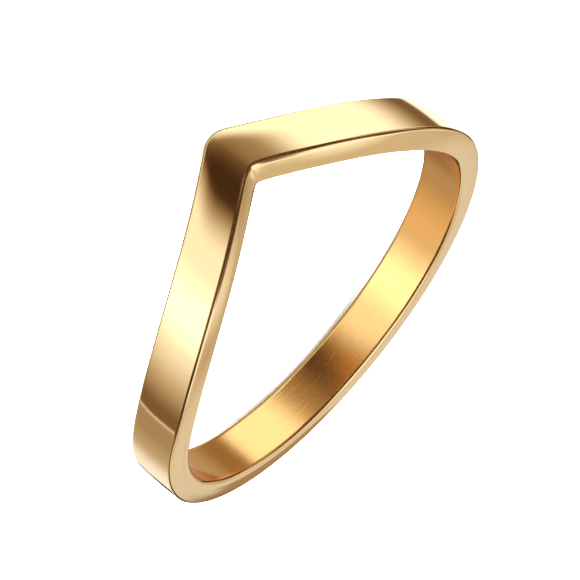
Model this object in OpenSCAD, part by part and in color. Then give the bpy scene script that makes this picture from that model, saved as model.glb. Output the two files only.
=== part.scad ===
// Chevron ring: one band of metal whose front dips into a V, lying on its side at rest.
// The band is shaped in a level frame first, with the finger hole along Z, the notch edge up
// and the V at -Y. Then it is leaned until the tip and the back edge meet the same surface.

/* [Finger hole] */
// Diameter of the finger hole
bore_d = 17.3; // [14:0.1:22]

/* [Band] */
// Thickness of the band, from the finger hole to the outside
wall = 1.2; // [0.9:0.05:1.8]
// Width of the band along the finger, at the back
band_w = 2.1; // [1.5:0.05:3]

/* [Chevron] */
// Angle round the finger from the tip to where each shoulder runs level
spread = 75; // [55:1:85]
// How far the notch dips below the back of the upper edge, on the outside
notch_depth = 3.95; // [2:0.05:5]
// Length of the straight stretch on each side of the notch, on the outside
notch_arm = 1.8; // [1:0.1:5]
// Radius of the notch on the outside
notch_r = 1.1; // [0.2:0.05:1.5]
// How much higher the notch is at the finger hole than on the outside
notch_rise = 0.45; // [0:0.05:0.8]
// Length of the straight stretch on each side of the notch, at the finger hole
inner_arm = 2.2; // [1:0.1:5]
// Radius of the notch at the finger hole
inner_r = 0.6; // [0.2:0.05:1.5]
// How much wider the band is at the tip than at the back
tip_extra = 0.1; // [0:0.05:0.6]
// Length of the straight stretch on each side of the tip
tip_arm = 0.75; // [0.5:0.05:3]
// Radius of the tip in the lower edge
tip_r = 1; // [0.5:0.05:2.5]

/* [Hidden] */
$fn = 144;

bore_r = bore_d / 2;
outer_r = bore_r + wall;
mid_r = bore_r + wall / 2;
tip_depth = notch_depth + tip_extra;
v_reach = mid_r * spread * PI / 180;

// One edge of the V, in the unrolled band: a straight arm, then an arc that ends level
function arm_angle(depth, arm) = 2 * atan(depth / (v_reach + arm));
function shoulder_r(depth, arm) =
    let (a = arm_angle(depth, arm)) (v_reach - arm * cos(a)) / sin(a);

// Height of an edge at the distance u from the middle. Its corner is rounded to r, or to
// the largest radius that the straight arms leave room for.
function edge_z(u, depth, arm, r) =
    let (
        a = arm_angle(depth, arm),
        big_r = shoulder_r(depth, arm),
        left = v_reach - u,
        corner = min(r, arm / tan(a))
    )
    u >= v_reach ? 0 :
    u > arm * cos(a) ? sqrt(pow(big_r, 2) - pow(left, 2)) - big_r :
    u > corner * sin(a) ? u * tan(a) - depth :
    corner / cos(a) - sqrt(pow(corner, 2) - pow(u, 2)) - depth;

function along_mid(angle) = mid_r * min(angle, 360 - angle) * PI / 180;
function upper_out_z(angle) = edge_z(along_mid(angle), notch_depth, notch_arm, notch_r);
function upper_in_z(angle) =
    edge_z(along_mid(angle), notch_depth - notch_rise, inner_arm, inner_r);
function lower_z(angle) = edge_z(along_mid(angle), tip_depth, tip_arm, tip_r) - band_w;

// Height of the upper side at the radius r: a straight line from its inner to its outer edge
function upper_z(r, angle) =
    let (inner = upper_in_z(angle))
    inner + (upper_out_z(angle) - inner) * (r - bore_r) / wall;

// Stations round the finger, close together at the tip
front_steps = 32;
back_steps = 18;
crowding = 1.6;
half_front = [for (i = [0:front_steps]) spread * pow(i / front_steps, crowding)];
back_step = (360 - 2 * spread) / back_steps;
back = [for (i = [1:back_steps - 1]) spread + i * back_step];
stations = concat(
    half_front,
    back,
    [for (i = [front_steps:-1:1]) 360 - half_front[i]]
);

// The slab between the two edges reaches this far past the band on each side
past = 1;
slab_in = bore_r - past;
slab_out = outer_r + past;

function at(r, angle, z) = [r * sin(angle), -r * cos(angle), z];

// Everything between the lower and the upper edge, all round the finger
module chevron_slab() {
    count = len(stations);
    points = [
        for (a = stations)
            each [
                at(slab_in, a, lower_z(a)),
                at(slab_out, a, lower_z(a)),
                at(slab_out, a, upper_z(slab_out, a)),
                at(slab_in, a, upper_z(slab_in, a))
            ]
    ];
    faces = [
        for (i = [0:count - 1], side = [0:3])
            let (
                here = 4 * i,
                next = 4 * ((i + 1) % count),
                other = (side + 1) % 4
            )
            each [
                [here + side, next + side, next + other],
                [here + side, next + other, here + other]
            ]
    ];
    polyhedron(points, faces, convexity = 6);
}

module level_band() {
    deep = band_w + tip_depth + past;
    intersection() {
        translate([0, 0, -deep])
            difference() {
                cylinder(h = deep + past, r = outer_r);
                translate([0, 0, -past])
                    cylinder(h = deep + 3 * past, r = bore_r);
            }
        chevron_slab();
    }
}

// At rest the inner corner of the tip and the outer corner of the back touch the surface
tip_z = lower_z(0);
lean = atan((-band_w - tip_z) / (bore_r + outer_r));
lowest = -outer_r * sin(lean) - band_w * cos(lean);
foremost = -outer_r * cos(lean) + tip_z * sin(lean);
rearmost = outer_r * cos(lean);

module band() {
    color("gold")
        translate([0, -(foremost + rearmost) / 2, -lowest])
            rotate([-lean, 0, 0])
                level_band();
}

band();
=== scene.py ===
import math

import bpy
from mathutils import Matrix, Vector


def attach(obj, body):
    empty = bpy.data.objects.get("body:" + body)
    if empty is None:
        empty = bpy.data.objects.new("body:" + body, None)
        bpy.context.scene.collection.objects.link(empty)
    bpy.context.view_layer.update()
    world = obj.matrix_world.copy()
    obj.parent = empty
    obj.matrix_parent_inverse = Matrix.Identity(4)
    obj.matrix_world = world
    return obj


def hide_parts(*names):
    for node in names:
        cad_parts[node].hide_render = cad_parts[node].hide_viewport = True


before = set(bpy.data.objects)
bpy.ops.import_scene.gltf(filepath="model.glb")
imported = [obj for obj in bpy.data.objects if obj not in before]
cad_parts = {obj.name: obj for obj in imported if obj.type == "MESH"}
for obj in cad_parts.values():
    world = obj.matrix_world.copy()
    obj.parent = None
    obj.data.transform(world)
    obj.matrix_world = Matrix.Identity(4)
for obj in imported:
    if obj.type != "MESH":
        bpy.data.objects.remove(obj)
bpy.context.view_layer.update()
print("frame loaded with", len(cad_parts), "node to dress")

mm = 0.001
toDegrees = 180 / math.pi

band = {
    # the sizes of the solid, in mm and degrees
    "boreD": 17.3,
    "wall": 1.2,
    "width": 2.1,
    "spread": 75.0,    # from the tip to each shoulder, round the finger
    "notchDepth": 3.95,
    "notchArm": 1.8,
    "notchR": 1.1,
    "notchRise": 0.45,    # how much higher the upper side lies at the finger hole than outside
    "innerArm": 2.2,
    "innerR": 0.6,
    "tipExtra": 0.1,
    "tipArm": 0.75,
    "tipR": 1.0,
    # what the dressed band adds to them, in mm and degrees too
    # how far the rounding of each long edge reaches towards the edge before it and the one after it
    "rounding": {
        "lowerInner": (0.18, 0.1),
        "lowerOuter": (0.1, 0.1),
        "upperOuter": (0.13, 0.13),
        "upperInner": (0.17, 0.13),
    },
    "notchRounding": 0.13,    # how much farther the upper outer rounding reaches at the notch
    "notchRoundingTo": 26.0,    # degrees from the tip over which that fades
    "roundingMargin": 0.02,    # straight stretch before and after each rounding
    "edgeSteps": 8,    # faces across each rounding
    "sideSteps": (3, 9, 5, 4),    # faces across the lower side, the outside, the upper side and the wall
    "crownFrom": 0.45,    # share of the width, from the upper edge, where the outside starts to curve in
    "crownDrop": 0.03,
    # the dressed band is a touch larger than the solid, so that its rounded outline
    # keeps the place of the sharp corners
    "sideRaise": 0.085,
    "tipRaise": 0.03,
    "outerRaise": 0.03,
    "lowerDrop": 0.02,
    "armDrop": 0.05,    # how much farther the lower side drops along the arms
    "armFade": (60.0, 90.0),    # degrees from the tip over which that fades
    "tipReach": 0.8,    # mm from the tip within which the tip's own values hold
    "sideCrown": 0.045,    # how much lower the upper side is at its two edges than at its highest line
    "sideTop": 0.4,    # where that line lies, as a share of the wall from the finger hole
    "sideReach": 0.3,    # share of the width over which the crown fades downwards
    "creaseHeight": 0.02,    # the low crease outside, where the arms meet at the tip
    "creaseSpread": 14.0,
    "creaseR": 0.8,
    "fineStep": 0.25,    # degrees between sections near the tip
    "fineTo": 24.0,
    "coarseStep": 0.5,
    "brushedTo": 0.02,    # faces that lie this close to the finger hole's wall are brushed
}

boreR = band["boreD"] / 2
outerR = boreR + band["wall"]
midR = boreR + band["wall"] / 2
tipDepth = band["notchDepth"] + band["tipExtra"]
vReach = midR * math.radians(band["spread"])


def edgeHeight(u, depth, arm, cornerR):
    # height of one edge of the V at the distance u from its middle, along the band
    slope = 2 * math.atan(depth / (vReach + arm))
    shoulderR = (vReach - arm * math.cos(slope)) / math.sin(slope)
    corner = min(cornerR, arm / math.tan(slope))
    armEnd = arm * math.cos(slope)
    if u >= vReach:
        return 0.0
    if u > armEnd:
        return math.sqrt(shoulderR ** 2 - (vReach - u) ** 2) - shoulderR
    cornerLift = corner / math.cos(slope) - corner    # how far the corner lies over the sharp V
    fade = 1 - (u / armEnd) ** 2
    return math.sqrt((u * math.tan(slope)) ** 2 + (cornerLift * fade) ** 2) - depth


def upperOut(u):
    return edgeHeight(u, band["notchDepth"], band["notchArm"], band["notchR"])


def upperIn(u):
    return edgeHeight(u, band["notchDepth"] - band["notchRise"], band["innerArm"], band["innerR"])


def lower(u):
    return edgeHeight(u, tipDepth, band["tipArm"], band["tipR"]) - band["width"]


# the lean at rest: inner corner of the tip and outer corner of the back touch the surface
lean = math.atan((-band["width"] - lower(0)) / (boreR + outerR))
lowest = -outerR * math.sin(lean) - band["width"] * math.cos(lean)
foremost = -outerR * math.cos(lean) + lower(0) * math.sin(lean)
rearmost = outerR * math.cos(lean)
toRest = Matrix.Translation((0, -(foremost + rearmost) / 2, -lowest)) @ Matrix.Rotation(-lean, 4, "X")


def ringPoint(angle, r, z):
    # from the angle round the finger, the radius and the height on the level ring to metres at rest
    turn = math.radians(angle)
    return toRest @ Vector((r * math.sin(turn), -r * math.cos(turn), z)) * mm


def slopeOf(edge, u, step=0.02):
    return (edge(u + step) - edge(u - step)) / (2 * step) if u > step else 0.0


def clamped(value):
    return min(1.0, max(0.0, value))


def roundedCorner(before, here, after, slope, reaches):
    # the points round one corner, on the way from the corner before it to the one after it
    stretch = math.sqrt(1 + slope ** 2)    # keeps an upright rounding as wide on a sloping edge
    back = (before - here).normalized()
    ahead = (after - here).normalized()
    backReach, aheadReach = reaches
    if abs(back.x) < abs(back.y):
        backReach *= stretch
    if abs(ahead.x) < abs(ahead.y):
        aheadReach *= stretch
    points = [here + back * (backReach + band["roundingMargin"])]
    for k in range(band["edgeSteps"] + 1):
        t = math.pi / 2 * k / band["edgeSteps"]
        points.append(here + back * backReach * (1 - math.sin(t)) + ahead * aheadReach * (1 - math.cos(t)))
    points.append(here + ahead * (aheadReach + band["roundingMargin"]))
    return points


def crease(angle):
    past = math.sqrt(angle ** 2 + band["creaseR"] ** 2) / band["creaseSpread"]
    return band["creaseHeight"] * max(0.0, 1 - past) ** 2


def dressed(point, angle, u):
    # moves a point of the flat-sided section to where the crowned and raised band has it
    r, z = point
    nearTip = math.exp(-(u / band["tipReach"]) ** 2)
    fadeFrom, fadeTo = band["armFade"]
    onArm = clamped((fadeTo - abs(angle)) / (fadeTo - fadeFrom))
    raised = band["sideRaise"] + (band["tipRaise"] - band["sideRaise"]) * nearTip
    dropped = band["lowerDrop"] + band["armDrop"] * (1 - nearTip) * onArm
    outward = (r - boreR) / band["wall"]    # 0 at the finger hole, 1 outside
    top = upperIn(u) + (upperOut(u) - upperIn(u)) * outward
    down = clamped((top - z) / (top - lower(u)))    # 0 at the upper side, 1 at the lower side
    curveIn = band["crownDrop"] * max(0.0, (down - band["crownFrom"]) / (1 - band["crownFrom"])) ** 3
    fromTop = outward - band["sideTop"]
    flank = 1 - band["sideTop"] if fromTop > 0 else band["sideTop"]
    sink = band["sideCrown"] * (fromTop / flank) ** 2 * max(0.0, 1 - down / band["sideReach"]) ** 2
    shift = (raised + band["sideCrown"]) * (1 - down) - dropped * down
    return Vector((r + outward * (crease(angle) + band["outerRaise"] - curveIn), z + shift - sink))


def sectionAt(angle):
    # one cross-section as (radius, height) points, with its four corners rounded
    u = midR * math.radians(abs(angle))
    edges = [(boreR, lower), (outerR, lower), (outerR, upperOut), (boreR, upperIn)]
    corners = [Vector((r, edge(u))) for r, edge in edges]
    rounding = dict(band["rounding"])
    before, after = rounding["upperOuter"]
    after += band["notchRounding"] * math.exp(-(angle / band["notchRoundingTo"]) ** 2)
    rounding["upperOuter"] = (before, after)
    rounded = []
    for i, ((r, edge), reaches) in enumerate(zip(edges, rounding.values())):
        neighbours = corners[i - 1], corners[i], corners[(i + 1) % len(corners)]
        rounded.append(roundedCorner(*neighbours, slopeOf(edge, u), reaches))
    section = []
    for i, steps in enumerate(band["sideSteps"]):
        section += rounded[i]
        start, end = rounded[i][-1], rounded[(i + 1) % len(rounded)][0]
        section += [start.lerp(end, k / steps) for k in range(1, steps)]
    return [dressed(point, angle, u) for point in section]


def stationAngles():
    angles = []
    a = -180.0
    while a < 180.0 - 1e-6:
        angles.append(a)
        a += band["fineStep"] if -band["fineTo"] <= a < band["fineTo"] else band["coarseStep"]
    return angles


def addPiece(name, points, faces):
    mesh = bpy.data.meshes.new(name + "Surface")
    mesh.from_pydata(points, [], faces)
    piece = bpy.data.objects.new(name, mesh)
    bpy.context.scene.collection.objects.link(piece)
    return piece


def makeBand():
    angles = stationAngles()
    sections = [sectionAt(angle) for angle in angles]
    count = len(sections[0])
    points = []
    faces = []
    finishes = []    # 0 is the polished finish, 1 the brushed one
    for i, (angle, section) in enumerate(zip(angles, sections)):
        points += [ringPoint(angle, r, z) for r, z in section]
        j = (i + 1) % len(angles)
        for k in range(count):
            m = (k + 1) % count
            faces.append((i * count + k, i * count + m, j * count + m, j * count + k))
            onWall = max(section[k].x, section[m].x) < boreR + band["brushedTo"]
            finishes.append(1 if onWall else 0)
    piece = addPiece("polishedBand", points, faces)
    mesh = piece.data
    mesh.validate()
    mesh.polygons.foreach_set("use_smooth", [True] * len(faces))
    mesh.polygons.foreach_set("material_index", finishes)
    mesh.update()
    mesh.materials.append(polishedGold())
    mesh.materials.append(brushedShadedGold())
    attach(piece, "root")
    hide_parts("band")


class Sock:
    # a socket that can be used in an expression: each operator adds a Math node
    def __init__(self, tree, socket):
        self.tree = tree
        self.socket = socket

    def __add__(self, other):
        return maths("ADD", self, other)

    def __radd__(self, other):
        return maths("ADD", other, self)

    def __sub__(self, other):
        return maths("SUBTRACT", self, other)

    def __rsub__(self, other):
        return maths("SUBTRACT", other, self)

    def __mul__(self, other):
        return maths("MULTIPLY", self, other)

    def __rmul__(self, other):
        return maths("MULTIPLY", other, self)

    def __truediv__(self, other):
        return maths("DIVIDE", self, other)

    def __pow__(self, other):
        return maths("POWER", self, other)


def node(tree, kind, settings=None, values=None, out=0):
    # adds one node: its settings first, then the values or links of its sockets
    made = tree.nodes.new(kind)
    for name, value in (settings or {}).items():
        if name == "stops":
            ramp = made.color_ramp
            while len(ramp.elements) < len(value):
                ramp.elements.new(0.5)
            for element, (place, colour) in zip(ramp.elements, value):
                element.position = place
                element.color = colour
        else:
            setattr(made, name, value)
    for name, value in (values or {}).items():
        if isinstance(value, Sock):
            tree.links.new(value.socket, made.inputs[name])
        else:
            made.inputs[name].default_value = value
    if out == "all":
        return [Sock(tree, socket) for socket in made.outputs]
    return Sock(tree, made.outputs[out]) if made.outputs else made


def maths(operation, *values):
    tree = next(value.tree for value in values if isinstance(value, Sock))
    return node(tree, "ShaderNodeMath", {"operation": operation}, dict(enumerate(values)))


def smoothStep(value, low, high):
    limits = {"Value": value, "From Min": low, "From Max": high}
    return node(value.tree, "ShaderNodeMapRange", {"interpolation_type": "SMOOTHSTEP"}, limits)


def mixColours(tree, share, first, second):
    # the Mix node's own numbers for its share, its two colours and the colour that comes out
    return node(tree, "ShaderNodeMix", {"data_type": "RGBA"}, {0: share, 6: first, 7: second}, out=2)


def noise(tree, place, scale, detail, roughness=0.5):
    values = {"Vector": place, "Scale": scale, "Detail": detail, "Roughness": roughness}
    return node(tree, "ShaderNodeTexNoise", {}, values)


def newMaterial(name):
    material = bpy.data.materials.new(name)
    material.use_nodes = True
    tree = material.node_tree
    tree.nodes.clear()
    return material, tree


def surface(tree, values):
    shader = node(tree, "ShaderNodeBsdfPrincipled", {}, values)
    node(tree, "ShaderNodeOutputMaterial", {}, {"Surface": shader})


def ringPlace(tree):
    # the place on the ring in its level frame, in mm, with the finger hole along Z
    place = node(tree, "ShaderNodeTexCoord", out="Object")
    scaled = node(tree, "ShaderNodeVectorMath", {"operation": "SCALE"}, {0: place, "Scale": 1 / mm})
    toLevel = toRest.inverted()
    turned = {"Vector": scaled, "Location": toLevel.to_translation(), "Rotation": toLevel.to_euler()}
    return node(tree, "ShaderNodeMapping", {}, turned)


# the finish of the outside, the two sides and the edges
polished = {
    "colour": (0.95, 0.72, 0.4, 1.0),
    "tint": (0.95, 0.702, 0.372, 1.0),    # the colour in the cloudy places
    "roughness": 0.045,
    "cloudScale": 0.9,    # noise cells for each mm
    "cloudDetail": 3.0,
    "cloudRoughness": 0.03,    # how much rougher the clouds make it
    "fineScale": 14.0,
    "fineDetail": 4.0,
    "fineRoughness": 0.02,
    "bump": 0.02,
    "bumpHeight": 0.00002,    # m
}

# the finish of the finger hole's wall, brushed round the finger, in a darker, more orange gold than the
# outside's: painted shade inside the finger hole
brushedAndShaded = {
    # darker and more orange than the outside's gold: painted shade
    "colour": (0.95, 0.625, 0.265, 1.0),
    "tint": (0.95, 0.5375, 0.175, 1.0),    # the colour in the streaks
    "roughness": 0.095,
    "streakScale": (0.35, 0.35, 14.0),    # long round the finger and narrow across the band
    "streakDetail": 5.0,
    "streakGrain": 0.7,
    "streakRoughness": 0.06,
    "cloudScale": 0.8,
    "cloudDetail": 2.0,
    "cloudRoughness": 0.03,
    "bump": 0.13,
    "bumpHeight": 0.00003,    # m
}


def goldSurface(tree, finish, share, roughness, height):
    tint = mixColours(tree, share, finish["colour"], finish["tint"])
    relief = {"Height": height, "Strength": finish["bump"], "Distance": finish["bumpHeight"]}
    bump = node(tree, "ShaderNodeBump", {}, relief)
    surface(tree, {"Base Color": tint, "Metallic": 1.0, "Roughness": roughness, "Normal": bump})


def polishedGold():
    material, tree = newMaterial("polishedGold")
    place = ringPlace(tree)
    cloud = noise(tree, place, polished["cloudScale"], polished["cloudDetail"])
    fine = noise(tree, place, polished["fineScale"], polished["fineDetail"])
    uneven = polished["cloudRoughness"] * cloud + polished["fineRoughness"] * fine
    goldSurface(tree, polished, cloud, polished["roughness"] + uneven, fine)
    return material


# the wall's brushed gold, whose darker colour is painted shade
def brushedShadedGold():
    material, tree = newMaterial("brushedShadedGold")
    place = ringPlace(tree)
    alongBand = node(tree, "ShaderNodeMapping", {}, {"Vector": place, "Scale": brushedAndShaded["streakScale"]})
    streaks = noise(tree, alongBand, 1.0, brushedAndShaded["streakDetail"], brushedAndShaded["streakGrain"])
    cloud = noise(tree, place, brushedAndShaded["cloudScale"], brushedAndShaded["cloudDetail"])
    uneven = brushedAndShaded["streakRoughness"] * streaks + brushedAndShaded["cloudRoughness"] * cloud
    goldSurface(tree, brushedAndShaded, streaks, brushedAndShaded["roughness"] + uneven, streaks)
    return material


# The studio surrounds the ring with soft panels that only reflections show. Each panel has the
# angle round the finger, in degrees from the tip, where it starts, how soft that end is, where it
# ends, how soft that end is, and how bright it is. Heights are in degrees over the level of the
# finger hole: a part fades in over its Heights, and out over its End.
studio = {
    # the lower part, which the outside and the finger hole's wall reflect
    "gap": 0.022,
    "panels": {
        "leftSheet": (15.5, 13.0, 92.0, 22.0, 1.2),
        "leftLamp": (46.0, 12.0, 70.0, 10.0, 0.7),
        "leftDim": (97.0, 8.0, 118.0, 1.0, 0.11),
        "leftLine": (119.0, 0.6, 120.6, 0.6, 0.5),
        "leftWall": (119.0, 1.5, 144.0, 8.0, 0.3),
        "backLeft": (150.0, 18.0, 200.0, 1.0, 1.0),
        "rightSheet": (-101.0, 17.0, -40.0, 10.0, 1.15),
        "rightGlow": (-98.0, 12.0, -20.0, 14.0, 0.28),
        "rightDim": (-125.0, 3.0, -104.0, 8.0, 0.11),
        "backRight": (-154.0, 4.0, -126.0, 3.0, 1.4),
    },
    # how far the start and the end of a panel shift, in degrees for each degree lower down
    "slants": {"leftSheet": (1.6, 0.0), "rightSheet": (0.0, -3.0), "rightGlow": (0.0, -1.0)},
    "slantFrom": -18.5,
    "underHeights": (-38.0, -29.0),    # below these, all is one tone
    "underColour": (0.42, 0.39, 0.34, 1.0),
    # the back wall, which the edges and the upper side reflect
    "wallHeights": (-6.0, 3.0),
    "darkRoom": 0.03,
    "backTone": 0.68,
    "backLeft": (118.0, 144.0),    # angles over which the back wall starts, on the left
    "backRight": (-140.0, -116.0),    # angles over which it ends, on the right
    "edgeHeights": (12.5, 16.5),
    "edgeGlow": (-165.0, 1.5, -147.0, 4.0, 1.0),    # where the wall reaches farther down
    "edgeDim": (-177.0, 3.0, -160.0, 3.0, 0.28),
    "leftShade": (-156.0, 6.0, -105.0, 10.0, 0.22),
    "leftShadeEnd": (36.0, 48.0),
    "highLeft": (-147.0, 7.0, -105.0, 10.0, 0.45),
    "highLeftHeights": (24.0, 38.0),
    "rightFill": (-92.0, 10.0, -43.0, 8.0, 0.4),
    "leftFill": (16.0, 8.0, 66.0, 10.0, 0.16),
    "fillHeights": (0.0, 8.0),
    "fillEnd": (30.0, 40.0),
    "dimHeights": (24.0, 40.0),
    "dimHigh": 0.17,
    # the roof, with a darker gap in front
    "roofHeights": (53.0, 67.0),
    "roof": 1.25,
    "roofGap": (-120.0, 10.0, 112.0, 10.0, 1.15),
    "roofGapEnd": (68.0, 80.0),
    # dim light is warmer: the powers that redden and yellow it
    "redPower": 0.77,
    "bluePower": 1.33,
    "floorLight": 7.0,    # the plain light that falls on the floor
}


def panel(shape, startTurn, endTurn):
    start, startSoft, end, endSoft, bright = shape
    started = smoothStep(startTurn, start - startSoft, start + startSoft)
    ended = smoothStep(endTurn, end - endSoft, end + endSoft)
    return bright * started * (1 - ended)


def lowerStudio(turn, rise):
    light = studio["gap"]
    lowBy = maths("MAXIMUM", studio["slantFrom"] - rise, 0.0)
    for name, shape in studio["panels"].items():
        slants = studio["slants"].get(name, (0, 0))
        light = light + panel(shape, *(turn + lowBy * slant if slant else turn for slant in slants))
    return light


def upperStudio(turn, rise):
    def upright(name):
        return panel(studio[name], turn, turn)

    def above(name):
        return smoothStep(rise, *studio[name])

    behind = 1 + smoothStep(turn, *studio["backLeft"]) - smoothStep(turn, *studio["backRight"])
    reach = maths("MAXIMUM", above("edgeHeights"), upright("edgeGlow"))
    reach = maths("MAXIMUM", reach, upright("edgeDim"))
    shade = upright("leftShade") * (1 - above("leftShadeEnd"))
    wall = studio["darkRoom"] + behind * reach * (studio["backTone"] - shade)
    wall = wall * (1 - studio["dimHigh"] * above("dimHeights"))
    wall = wall + upright("highLeft") * above("highLeftHeights")
    fill = upright("rightFill") + upright("leftFill")
    wall = wall + fill * above("fillHeights") * (1 - above("fillEnd"))
    overhead = above("roofHeights")
    gap = upright("roofGap") * (1 - above("roofGapEnd"))
    return wall * (1 - overhead) + overhead * (studio["roof"] - gap)


def warmed(tree, light):
    below = maths("MINIMUM", light, 1.0)
    above = maths("MAXIMUM", light, 1.0)
    red = below ** studio["redPower"] * above
    blue = below ** studio["bluePower"] * above
    return node(tree, "ShaderNodeCombineXYZ", {}, {0: red, 1: light, 2: blue})


def makeWorld():
    world = bpy.data.worlds.new("softStudio")
    bpy.context.scene.world = world
    world.use_nodes = True
    tree = world.node_tree
    tree.nodes.clear()
    ray = node(tree, "ShaderNodeTexCoord", out="Generated")
    level = node(tree, "ShaderNodeMapping", {}, {"Vector": ray, "Rotation": (lean, 0, 0)})
    x, y, z = node(tree, "ShaderNodeSeparateXYZ", {}, {0: level}, out="all")
    turn = maths("ARCTAN2", x, 0 - y) * toDegrees
    rise = maths("ARCSINE", z) * toDegrees
    upper = smoothStep(rise, *studio["wallHeights"])
    light = lowerStudio(turn, rise) * (1 - upper) + upperStudio(turn, rise) * upper
    overUnder = smoothStep(rise, *studio["underHeights"])
    colour = mixColours(tree, overUnder, studio["underColour"], warmed(tree, light))
    reflected = node(tree, "ShaderNodeBackground", {}, {"Color": colour, "Strength": 1.0})
    white = {"Color": (1.0, 1.0, 1.0, 1.0), "Strength": studio["floorLight"]}
    plain = node(tree, "ShaderNodeBackground", {}, white)
    glossy = node(tree, "ShaderNodeLightPath", out="Is Glossy Ray")
    mixed = node(tree, "ShaderNodeMixShader", {}, {0: glossy, 1: plain, 2: reflected})
    node(tree, "ShaderNodeOutputWorld", {}, {"Surface": mixed})


ground = {
    "reach": 0.6,    # m from the middle to each side
    "colour": (0.86, 0.86, 0.86, 1.0),
    "roughness": 0.9,
}


def makeFloor():
    reach = ground["reach"]
    corners = [(-reach, -reach, 0), (reach, -reach, 0), (reach, reach, 0), (-reach, reach, 0)]
    piece = addPiece("floor", corners, [(0, 1, 2, 3)])
    material, tree = newMaterial("paleFloor")
    plain = {"Base Color": ground["colour"], "Roughness": ground["roughness"], "Specular IOR Level": 0.0}
    surface(tree, plain)
    piece.data.materials.append(material)
    piece.visible_glossy = False


# small curved cards near the back of the ring that only the ring's reflections show: they glow with a
# painted reflection of the floor round the ring and of its shade, as the floor itself stays out of
# reflections
paintedReflectionCards = {
    # painted reflection of the floor round the back of the ring, lit and shaded, for the finger hole's
    # wall
    "underCard": {
        "radius": 11.0,    # mm
        "top": -1.6,
        "topFade": 1.4,    # mm over which the card fades in from its upper edge
        "topSlope": 0.0,    # how much lower that edge gets, in mm for each degree round the finger
        "bottom": -14.0,
        "start": 112.0,
        "end": 244.0,
        "fade": 12.0,    # degrees over which it fades in at each end
        # painted tones along the card, by the angle round the finger: the lit floor first, then the brown
        # of its painted shade
        "tones": {
            132.0: (0.9, 0.74, 0.57, 1.0),
            153.0: (0.76, 0.61, 0.42, 1.0),
            174.0: (0.53, 0.42, 0.32, 1.0),
            195.0: (0.49, 0.41, 0.31, 1.0),
            214.0: (0.33, 0.21, 0.1, 1.0),
        },
    },
    # painted brown shade, which the upper side reflects near the back of the band
    "backCard": {
        "radius": 12.0,
        "top": 2.2,
        "topFade": 0.4,
        "topSlope": 0.03,
        "bottom": 0.15,
        "start": 146.0,
        "end": 186.0,
        "fade": 8.0,
        "tones": {
            150.0: (0.38, 0.25, 0.14, 1.0),
            172.0: (0.42, 0.285, 0.16, 1.0),
        },
    },
}
cardSteps = 48


def paintedReflectionGlow(name):
    card = paintedReflectionCards[name]
    span = card["end"] - card["start"]
    material, tree = newMaterial(name + "Glow")
    x, y, z = node(tree, "ShaderNodeSeparateXYZ", {}, {0: ringPlace(tree)}, out="all")
    turn = 180 + maths("ARCTAN2", 0 - x, y) * toDegrees    # 0 to 360, so that the back stays whole
    stops = [((angle - card["start"]) / span, tone) for angle, tone in card["tones"].items()]
    tone = node(tree, "ShaderNodeValToRGB", {"stops": stops}, {0: (turn - card["start"]) / span})
    started = smoothStep(turn, card["start"], card["start"] + card["fade"])
    ended = smoothStep(turn, card["end"] - card["fade"], card["end"])
    height = z + card["topSlope"] * (turn - card["start"])
    past = smoothStep(height, card["top"] - card["topFade"], card["top"])
    # the painted reflection: the card glows in its tones, though it lights nothing
    surface(tree, {
        "Base Color": (0.0, 0.0, 0.0, 1.0),
        "Specular IOR Level": 0.0,
        "Roughness": 1.0,
        "Emission Color": tone,
        "Emission Strength": 1.0,
        "Alpha": started * (1 - ended) * (1 - past),
    })
    return material


def makeCard(name):
    card = paintedReflectionCards[name]
    points = []
    for i in range(cardSteps + 1):
        angle = card["start"] + (card["end"] - card["start"]) * i / cardSteps
        points += [ringPoint(angle, card["radius"], z) for z in (card["bottom"], card["top"])]
    faces = [(2 * i, 2 * i + 2, 2 * i + 3, 2 * i + 1) for i in range(cardSteps)]
    piece = addPiece(name, points, faces)
    piece.data.materials.append(paintedReflectionGlow(name))
    piece.visible_camera = False
    piece.visible_diffuse = False
    piece.visible_transmission = False
    piece.visible_shadow = False


camera = {
    "place": (56.78, -168.54, 97.94),    # mm
    "aim": (0.0, 0.17, 2.05),
    "roll": 124.96,    # degrees
    "lens": 294.75,    # mm
    "sensor": 36.0,    # mm wide
    "clip": (0.01, 10.0),    # m
}


def makeCamera():
    data = bpy.data.cameras.new("camera")
    data.lens = camera["lens"]
    data.sensor_width = camera["sensor"]
    data.clip_start, data.clip_end = camera["clip"]
    eye = bpy.data.objects.new("camera", data)
    bpy.context.scene.collection.objects.link(eye)
    place, aim = Vector(camera["place"]), Vector(camera["aim"])
    look = (aim - place).to_track_quat("-Z", "Y").to_matrix().to_4x4()
    roll = Matrix.Rotation(math.radians(camera["roll"]), 4, "Z")
    eye.matrix_world = Matrix.Translation(place * mm) @ look @ roll
    bpy.context.scene.camera = eye


print("band and its two finishes")
makeBand()
print("studio")
makeWorld()
makeFloor()
for name in paintedReflectionCards:
    makeCard(name)
print("camera")
makeCamera()
bpy.context.scene.view_settings.view_transform = "Standard"
